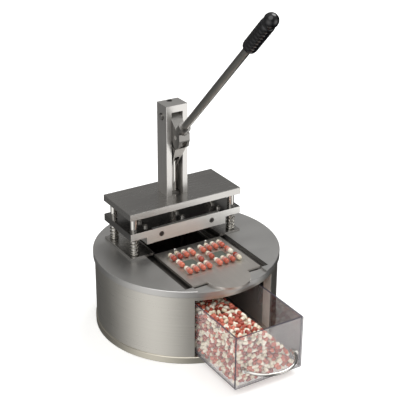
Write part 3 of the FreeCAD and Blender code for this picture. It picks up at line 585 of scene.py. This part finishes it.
# The faint white share of the clear sheets is a painted reflection of the bright surroundings; their gloss
# and ripple are real.
clear_acrylic, tree, shader = new_material(
    "clear_acrylic_painted_reflection", {"Base Color": linear("#fbf8f8"), "Roughness": 0.04, "IOR": 1.49, "Alpha": 0.12})
place = object_place(tree)
ripple = add_node(tree, "ShaderNodeTexNoise", {"Scale": 1 / (30 * MM)}, {"Vector": place})
waviness = add_node(tree, "ShaderNodeBump", {"Strength": 0.1, "Distance": 0.2 * MM},
                    {"Height": ripple.outputs["Fac"]})
tree.links.new(waviness.outputs[0], shader.inputs["Normal"])

# Dark, mottled red-brown colour on the right wall's front part is a painted reflection of the capsules and
# the dark surroundings.
acrylic_with_painted_reflection, tree, shader = new_material(
    "right_wall_painted_reflection", {"Roughness": 0.05, "IOR": 1.49, "Alpha": 0.7})
place = object_place(tree)
reflection_paint_noise = add_node(tree, "ShaderNodeTexNoise", {"Scale": 1 / (24 * MM), "Detail": 3.0}, {"Vector": place})
reflection_paint_tone = two_tones(tree, reflection_paint_noise.outputs["Fac"], "#3a2f33", "#76605f")
reflection_paint_tone.color_ramp.elements[0].position = 0.35
reflection_paint_tone.color_ramp.elements[1].position = 0.7
tree.links.new(reflection_paint_tone.outputs[0], shader.inputs["Base Color"])

acrylic_edge, tree, shader = new_material(
    "sawn_acrylic_edge", {"Roughness": 0.35, "IOR": 1.49, "Alpha": 0.82})
place = object_place(tree)
saw_marks = add_node(tree, "ShaderNodeTexNoise", {"Scale": 1 / (2.5 * MM), "Detail": 3.0}, {"Vector": place})
edge_tone = two_tones(tree, saw_marks.outputs["Fac"], "#28242f", "#504b5c")
tree.links.new(edge_tone.outputs[0], shader.inputs["Base Color"])


def acrylic_sheet(name):
    """Clear sheet in the place of a drawer wall, with its narrow sides in the edge finish."""
    low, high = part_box(name)
    size = high - low
    thin = min(range(3), key=lambda axis: size[axis])
    sheet = start_piece("acrylic_" + name, bpy.ops.mesh.primitive_cube_add, size=1, location=(low + high) / 2,
                        scale=size)
    settle(sheet)
    wear(sheet, clear_acrylic, acrylic_edge, acrylic_with_painted_reflection)
    pick(sheet, lambda centre, normal: True)
    bpy.ops.mesh.bevel(offset=sheet_bevel, segments=2)
    # The right wall's front part gets the painted reflection.
    if name == "drawer_right_wall":
        bpy.ops.mesh.select_all(action="SELECT")
        bpy.ops.mesh.bisect(plane_co=(0, right_wall_reflection_start, 0), plane_no=(0, 1, 0))
    bpy.ops.object.mode_set(mode="OBJECT")
    for face in sheet.data.polygons:
        in_painted_reflection = name == "drawer_right_wall" and face.center.y < right_wall_reflection_start
        face.material_index = (2 if in_painted_reflection else 0) if abs(face.normal[thin]) > squarely else 1
    settle(sheet, 30)
    attach(sheet, "drawer", "clear_acrylic", name)
    wear(nodes[name], clear_acrylic)


for name in ("drawer_floor", "drawer_left_wall", "drawer_right_wall", "drawer_back_wall",
             "drawer_front_wall"):
    acrylic_sheet(name)

# %% [markdown]
# ## Capsules
# A hard gelatin capsule is a tube with round ends in two halves: a coral red cap that slips
# over a cream body.  The model is a sphere with few rings whose halves are moved apart; a
# cut marks where the cap ends.  There are very many of them, so each has only a few dozen faces
# and the smoothing does the rest.  A number on each capsule shifts its shade a little.

# %% One capsule
capsule_radius = 3.0 * MM
capsule_half_tube = 4.9 * MM
blistered = 1.28             # how much larger a capsule looks under its blister
cap_swell = 1.05             # cap's radius against the body's
cap_rim = 0.1 * MM
red_gelatin, tree, shader = new_material("red_gelatin", {"Roughness": 0.22, "IOR": 1.5})
cream_gelatin, cream_tree, cream_shader = new_material("cream_gelatin", {"Roughness": 0.25, "IOR": 1.5})
for gel_tree, gel_shader, dark, light in ((tree, shader, "#95362a", "#dc7c64"),
                                          (cream_tree, cream_shader, "#dccfb4", "#fff9ea")):
    own = add_node(gel_tree, "ShaderNodeAttribute", {"attribute_name": "shade"})
    tone = two_tones(gel_tree, own.outputs["Fac"], dark, light)
    gel_tree.links.new(tone.outputs[0], gel_shader.inputs["Base Color"])


def capsule(name, sides, rings, cap_edge=0.0):
    """Capsule along Z about the origin, its red cap above the height of the cap's edge."""
    piece = start_piece(name, bpy.ops.mesh.primitive_uv_sphere_add, segments=sides, ring_count=rings,
                        radius=capsule_radius)
    for way in (-1, 1):
        pick(piece, lambda centre, normal: False)
        bpy.ops.mesh.select_mode(type="VERT")
        bpy.ops.object.mode_set(mode="OBJECT")
        for vertex in piece.data.vertices:
            vertex.select = vertex.co.z * way > 0
        bpy.ops.object.mode_set(mode="EDIT")
        bpy.ops.transform.translate(value=(0, 0, way * capsule_half_tube))
    bpy.ops.mesh.select_all(action="SELECT")
    bpy.ops.mesh.bisect(plane_co=(0, 0, cap_edge), plane_no=(0, 0, 1))
    bpy.ops.object.mode_set(mode="OBJECT")
    for vertex in piece.data.vertices:
        if vertex.co.z > cap_edge - cap_rim:
            vertex.co.x *= cap_swell
            vertex.co.y *= cap_swell
    wear(piece, red_gelatin, cream_gelatin)
    for face in piece.data.polygons:
        face.material_index = 0 if face.center.z > cap_edge else 1
        face.use_smooth = True
    return piece


small_capsule = capsule("small_capsule", 8, 5)
print("one capsule has", len(small_capsule.data.polygons), "faces")

# %% [markdown]
# ## The heap in the drawer
# The pressed-out capsules fill the drawer's left half to the brim and slope down to the right.
# They are scattered in the heap's outer layers and then pushed apart, step by step, wherever
# two of them overlap, while the walls and the heap's surface push back.  Each capsule counts as
# three balls in a row.  A dull core fills the middle where no one can see.

# %% Scatter and pack the capsules
_, floor_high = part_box("drawer_floor")
_, left_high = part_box("drawer_left_wall")
right_low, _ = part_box("drawer_right_wall")
_, front_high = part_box("drawer_front_wall")
back_low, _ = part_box("drawer_back_wall")
heap_low = np.array([left_high.x, front_high.y, floor_high.z]) / MM
heap_high = np.array([right_low.x, back_low.y, left_high.z]) / MM
heap_across = (-10.0, 23.0, 38.0, 46.0)    # X of the bends in the heap's surface
heap_levels = (96.0, 59.0, 44.0, 20.0)     # its height at each bend
layer = 11.0
cell = 7.9
jitter = 3.0
tilt_spread = 0.38
ease = 0.4                   # share of an overlap that one step takes away
dice = np.random.default_rng(11)


def heap_height(x):
    """Height of the heap's surface over the drawer's width."""
    return np.interp(x, heap_across, heap_levels)


def scattered():
    """Random places and directions in the outer layers of the heap."""
    steps = [np.arange(heap_low[i] + 4, heap_high[i] - 3, cell) for i in range(3)]
    grid = np.array(np.meshgrid(*steps, indexing="ij")).reshape(3, -1).T
    grid = grid + dice.uniform(-jitter, jitter, grid.shape)
    depth_top = heap_height(grid[:, 0]) - grid[:, 2]
    near_end = np.minimum(grid[:, 1] - heap_low[1], heap_high[1] - grid[:, 1])
    near_side = np.minimum(grid[:, 0] - heap_low[0], near_end)
    keep = (depth_top > 2) & ((depth_top < layer * 1.5) | (near_side < layer))
    places = grid[keep]
    turn = dice.uniform(0, 2 * math.pi, len(places))
    tilt = dice.normal(0, tilt_spread, len(places))
    ways = np.stack([np.cos(turn) * np.cos(tilt), np.sin(turn) * np.cos(tilt), np.sin(tilt)], 1)
    return places, ways


def packed(places, ways, rounds):
    """Push overlapping capsules apart and keep them inside the drawer."""
    radius = capsule_radius / MM * 1.02
    reach = capsule_half_tube / MM
    count = len(places)
    owner = np.repeat(np.arange(count), 3)
    step = np.tile([-1.0, 0.0, 1.0], count)
    for _ in range(rounds):
        balls = places[owner] + ways[owner] * (step * reach)[:, None]
        push = np.zeros_like(balls)
        for start in range(0, len(balls), 600):
            block = balls[start:start + 600]
            apart = block[:, None, :] - balls[None, :, :]
            distance = np.sqrt((apart ** 2).sum(2)) + 1e-6
            overlap = np.maximum(2 * radius - distance, 0)
            overlap[owner[start:start + 600][:, None] == owner[None, :]] = 0
            push[start:start + 600] = (apart * (overlap / distance)[:, :, None]).sum(1) * ease
        push += np.maximum(heap_low + radius - balls, 0) - np.maximum(balls - (heap_high - radius), 0)
        above = np.maximum(balls[:, 2] + radius - heap_height(balls[:, 0]) - 1.5, 0)
        push[:, 2] -= above * ease
        push = push.reshape(count, 3, 3)
        places = places + push.mean(1)
        ways = ways + (push[:, 2] - push[:, 0]) / (2 * reach) * 0.5
        ways /= np.linalg.norm(ways, axis=1)[:, None]
    return places, ways


places, ways = packed(*scattered(), 45)
print("capsules in the drawer:", len(places))


# %% Copy the capsule to every place
def lay_out(template, places, ways, name):
    """One mesh with a copy of the template at each place, in millimetres, pointing each way."""
    source = template.data
    points = np.zeros(len(source.vertices) * 3)
    source.vertices.foreach_get("co", points)
    points = points.reshape(-1, 3)
    faces = [tuple(face.vertices) for face in source.polygons]
    slots = [face.material_index for face in source.polygons]
    all_points, all_faces, shades = [], [], []
    for index, (place, way) in enumerate(zip(places, ways)):
        turn = np.array(Vector(way).to_track_quat("Z", "Y").to_matrix())
        all_points.append(points @ turn.T + np.asarray(place) * MM)
        offset = index * len(points)
        all_faces += [tuple(v + offset for v in face) for face in faces]
        shades += [dice.uniform(0, 1)] * len(faces)
    mesh = bpy.data.meshes.new(name)
    mesh.from_pydata(np.concatenate(all_points).tolist(), [], all_faces)
    wear_slots = slots * len(places)
    mesh.materials.append(red_gelatin)
    mesh.materials.append(cream_gelatin)
    mesh.polygons.foreach_set("material_index", wear_slots)
    mesh.polygons.foreach_set("use_smooth", [True] * len(all_faces))
    mesh.attributes.new("shade", "FLOAT", "FACE").data.foreach_set("value", shades)
    piece = bpy.data.objects.new(name, mesh)
    bpy.context.scene.collection.objects.link(piece)
    return piece


heap = lay_out(small_capsule, places, ways, "capsule_heap")
attach(heap, "drawer", None)

# %% Core of the heap
core_shrink = 8.0
core_material, tree, shader = new_material("capsules_in_shade", {"Roughness": 0.8})
place = object_place(tree)
lumps = add_node(tree, "ShaderNodeTexVoronoi", {"Scale": 1 / (8 * MM)}, {"Vector": place})
lump_tone = two_tones(tree, lumps.outputs["Color"], "#6b2018", "#b59c86")
tree.links.new(lump_tone.outputs[0], shader.inputs["Base Color"])

core_low = Vector(heap_low) * MM + Vector((1, 1, 0)) * core_shrink * MM
core_high = Vector(heap_high) * MM - Vector((1, 1, 0)) * core_shrink * MM
core = start_piece("heap_core", bpy.ops.mesh.primitive_cube_add, size=1, location=(core_low + core_high) / 2,
                   scale=core_high - core_low)
settle(core)
pick(core, lambda centre, normal: True)
bpy.ops.mesh.subdivide(number_cuts=12)
bpy.ops.object.mode_set(mode="OBJECT")
core_floor = heap_low[2] + 1.0
core_thinnest = 1.0
for vertex in core.data.vertices:
    x, z = vertex.co.x / MM, vertex.co.z / MM
    share = (z - heap_low[2]) / (heap_high[2] - heap_low[2])
    top = max(float(heap_height(np.array(x))) - core_shrink, core_floor + core_thinnest)
    vertex.co.z = (core_floor + share * (top - core_floor)) * MM
wear(core, core_material)
settle(core, 60)
attach(core, "drawer", None)

# %% [markdown]
# ## Blister cards
# Two cards lie side by side on the tray, each with ten capsules: four, two and four.  A card is
# a sheet of aluminium foil sealed to a clear film that is drawn up into a long blister over each
# capsule; the middle of the card is left flat and printed with a plain patch.  The foil is a
# plane with rounded corners, and each blister is half a capsule shape, a little larger.

# %% Cards, blisters and their capsules
tray_low, tray_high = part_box("tray_format_plate")
cards_middle = Vector(((tray_low.x + tray_high.x) / 2, (tray_low.y + tray_high.y) / 2, tray_high.z))
card_pitch, column_pitch, row_pitch = 54.0, 11.7, 24.5
card_size = (50.0, 76.0)
card_corner = 5.0
foil_thickness = 0.15 * MM
capsule_lift = capsule_radius * cap_swell * blistered       # capsule's axis above the foil
foot_height = 0.5 * MM
foot_flare = 1.12
foot_flare_end = 1.05
blister_gap = 0.7 * MM
cap_edge_shift = -2.2 * MM   # the caps on the cards reach past the middle
patch_size = (2 * column_pitch - 3, row_pitch - 6)
patch_corner = 2.0
turned_share = 0.25          # share of the capsules that lie the other way round

foil, tree, shader = new_material("blister_foil", {"Metallic": 0.85, "Roughness": 0.38})
place = object_place(tree)
knurl = add_node(tree, "ShaderNodeTexVoronoi", {"Scale": 1 / (1.3 * MM)}, {"Vector": place})
foil_tone = two_tones(tree, knurl.outputs["Distance"], "#a9a49b", "#c9c4ba")
foil_bump = add_node(tree, "ShaderNodeBump", {"Strength": 0.5, "Distance": 0.08 * MM},
                     {"Height": knurl.outputs["Distance"]})
tree.links.new(foil_tone.outputs[0], shader.inputs["Base Color"])
tree.links.new(foil_bump.outputs[0], shader.inputs["Normal"])

patch_ink, tree, shader = new_material("printed_foil_patch", {"Metallic": 0.5, "Roughness": 0.5})
place = object_place(tree)
grain = add_node(tree, "ShaderNodeTexNoise", {"Scale": 1 / (1.5 * MM)}, {"Vector": place})
ink_tone = two_tones(tree, grain.outputs["Fac"], "#596058", "#6f766d")
tree.links.new(ink_tone.outputs[0], shader.inputs["Base Color"])

# The whitish share of the clear film is a painted highlight; its gloss and waviness are real.
blister_film, tree, shader = new_material(
    "clear_pvc_painted_highlight", {"Base Color": linear("#f4f2ee"), "Roughness": 0.1, "IOR": 1.53, "Alpha": 0.26})
place = object_place(tree)
film_wave = add_node(tree, "ShaderNodeTexNoise", {"Scale": 1 / (4 * MM)}, {"Vector": place})
film_bump = add_node(tree, "ShaderNodeBump", {"Strength": 0.2, "Distance": 0.1 * MM},
                     {"Height": film_wave.outputs["Fac"]})
tree.links.new(film_bump.outputs[0], shader.inputs["Normal"])


def card_places():
    """Capsule places on one card about its middle, in millimetres."""
    return [((column - 1.5) * column_pitch, row * row_pitch) for column in range(4) for row in (-1, 0, 1)
            if row or column in (0, 3)]


def flat_sheet(name, centre, size, corner, thickness):
    """Thin sheet with round corners, its underside at the centre's height."""
    sheet = start_piece(name, bpy.ops.mesh.primitive_plane_add, size=1,
                        location=(centre.x, centre.y, centre.z + thickness / 2))
    bpy.ops.transform.resize(value=(size[0] * MM, size[1] * MM, 1))
    settle(sheet)
    pick(sheet, lambda where, normal: True)
    bpy.ops.mesh.bevel(offset=corner * MM, segments=6, affect="VERTICES")
    bpy.ops.object.mode_set(mode="OBJECT")
    thick = sheet.modifiers.new("thickness", "SOLIDIFY")
    thick.thickness = thickness
    thick.offset = 0
    apply_modifiers(sheet)
    return sheet


def blister(name):
    """Dome of clear film with upright sides and a small flared foot."""
    dome = start_piece(name, bpy.ops.mesh.primitive_uv_sphere_add, segments=20, ring_count=13,
                       radius=capsule_radius * blistered + blister_gap, rotation=(math.pi / 2, 0, 0))
    settle(dome)
    for way in (-1, 1):
        for vertex in dome.data.vertices:
            vertex.select = vertex.co.y * way > weld_distance
        for face in dome.data.polygons:
            face.select = False
        bpy.ops.object.mode_set(mode="EDIT")
        bpy.ops.mesh.select_mode(type="VERT")
        bpy.ops.transform.translate(value=(0, way * capsule_half_tube * blistered, 0))
        bpy.ops.object.mode_set(mode="OBJECT")
    pick(dome, lambda where, normal: True)
    bpy.ops.mesh.bisect(plane_co=(0, 0, 0), plane_no=(0, 0, 1), clear_inner=True)
    bpy.ops.mesh.extrude_edges_move(TRANSFORM_OT_translate={"value": (0, 0, -capsule_lift + foot_height)})
    bpy.ops.mesh.extrude_edges_move(TRANSFORM_OT_translate={"value": (0, 0, -foot_height)})
    bpy.ops.transform.resize(value=(foot_flare, foot_flare_end, 1))
    bpy.ops.object.mode_set(mode="OBJECT")
    return dome


card_capsule = capsule("card_capsule", 16, 9, cap_edge_shift)
card_capsule.data.transform(Matrix.Scale(blistered, 4))
dome = blister("dome")
for side, hand in ((-1, "left"), (1, "right")):
    centre = cards_middle + Vector((side * card_pitch / 2 * MM, 0, 0))
    sheet = flat_sheet("blister_foil_" + hand, centre, card_size, card_corner, foil_thickness)
    wear(sheet, foil)
    settle(sheet, 30)
    attach(sheet, "tray", None)
    patch = flat_sheet("blister_patch_" + hand, centre + Vector((0, 0, foil_thickness)),
                       patch_size, patch_corner, foil_thickness)
    wear(patch, patch_ink)
    settle(patch, 30)
    attach(patch, "tray", None)
    spots = card_places()
    lift = centre.z + foil_thickness + capsule_lift
    where = [((centre.x / MM + x), (centre.y / MM + y), lift / MM) for x, y in spots]
    ways = [(0, 1 if dice.uniform() < turned_share else -1, 0) for _ in spots]
    filled = lay_out(card_capsule, where, ways, "card_capsules_" + hand)
    attach(filled, "tray", None)
    domes = [copy_of(dome, "dome", Matrix.Translation((x * MM, y * MM, lift))) for x, y, _ in where]
    film = join(domes, "blister_film_" + hand)
    wear(film, blister_film)
    settle(film, 60)
    attach(film, "tray", None)

for helper in (dome, card_capsule, small_capsule):
    bpy.data.objects.remove(helper)
